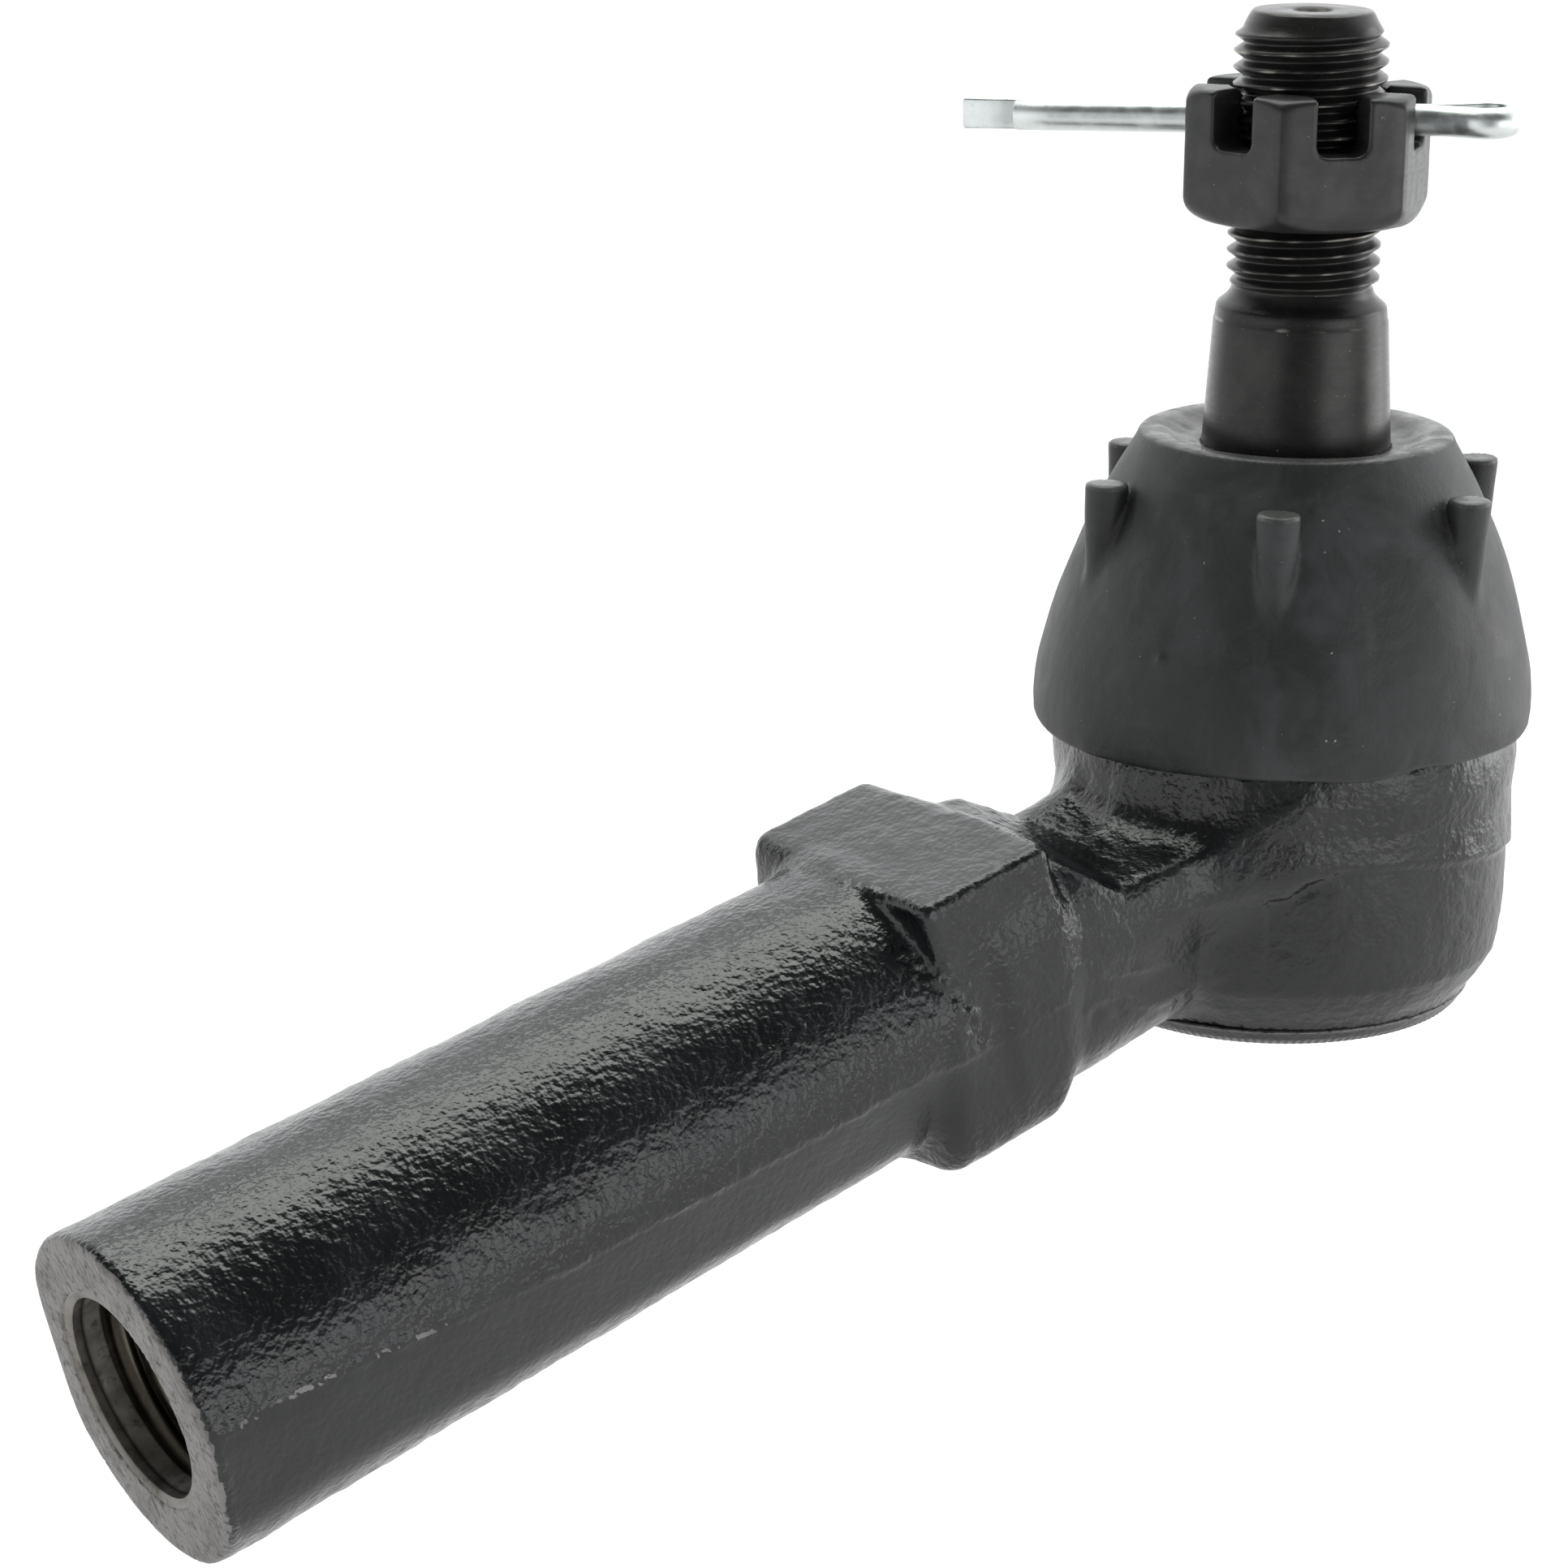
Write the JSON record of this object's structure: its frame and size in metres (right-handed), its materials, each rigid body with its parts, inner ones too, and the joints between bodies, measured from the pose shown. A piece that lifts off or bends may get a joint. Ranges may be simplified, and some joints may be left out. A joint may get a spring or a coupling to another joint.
{
  "type": "tie rod end",
  "caption": "Outer tie rod end: ball stud in a forged socket with a rubber boot, castle nut and cotter pin, on a straight internally threaded shank.",
  "frame": {"origin": "centre of the ball, where the stud's axis and the shank's axis meet", "axes": "+Z along the stud towards its threaded end; the shank lies in the XZ plane and runs towards -X, 14.85 degrees below the plane square to the stud"},
  "size_m": [0.1495, 0.0494, 0.118],
  "materials": {
    "housing_paint": "semi-gloss black paint over a forged skin",
    "cover_steel": "black coated pressed steel",
    "spring_steel": "hardened spring steel",
    "bearing_plastic": "natural acetal",
    "stud_steel": "black oxide, satin",
    "boot_rubber": "matte moulded black rubber",
    "ring_steel": "plain steel",
    "nut_steel": "black phosphate, satin",
    "pin_zinc": "bright zinc plate"
  },
  "bodies": {
    "housing": {"housing": "housing_paint", "cover_plate": "cover_steel", "preload_spring": "spring_steel", "lower_bearing": "bearing_plastic", "upper_bearing": "bearing_plastic"},
    "boot": {"dust_boot": "boot_rubber"},
    "boot_collar": {"boot_ring": "ring_steel"},
    "stud": {"ball_stud": "stud_steel", "castle_nut": "nut_steel"},
    "cotter_pin": {"cotter_pin": "pin_zinc"}
  },
  "joints": [
    {"name": "boot_turn", "type": "hinge", "parent": "housing", "child": "boot", "pos_m": [0, 0, 0], "axis": [0, 0, 1], "continuous": true},
    {"name": "stud_tilt", "type": "hinge", "parent": "boot", "child": "boot_collar", "pos_m": [0, 0, 0], "axis": [0, 1, 0], "range_deg": [-20, 20], "deforming": ["dust_boot"]},
    {"name": "stud_spin", "type": "hinge", "parent": "boot_collar", "child": "stud", "pos_m": [0, 0, 0], "axis": [0, 0, 1], "continuous": true},
    {"name": "pin_slide", "type": "slide", "parent": "stud", "child": "cotter_pin", "axis": [0.6154, -0.7876, 0.0314], "range_m": [0, 0.045]}
  ]
}
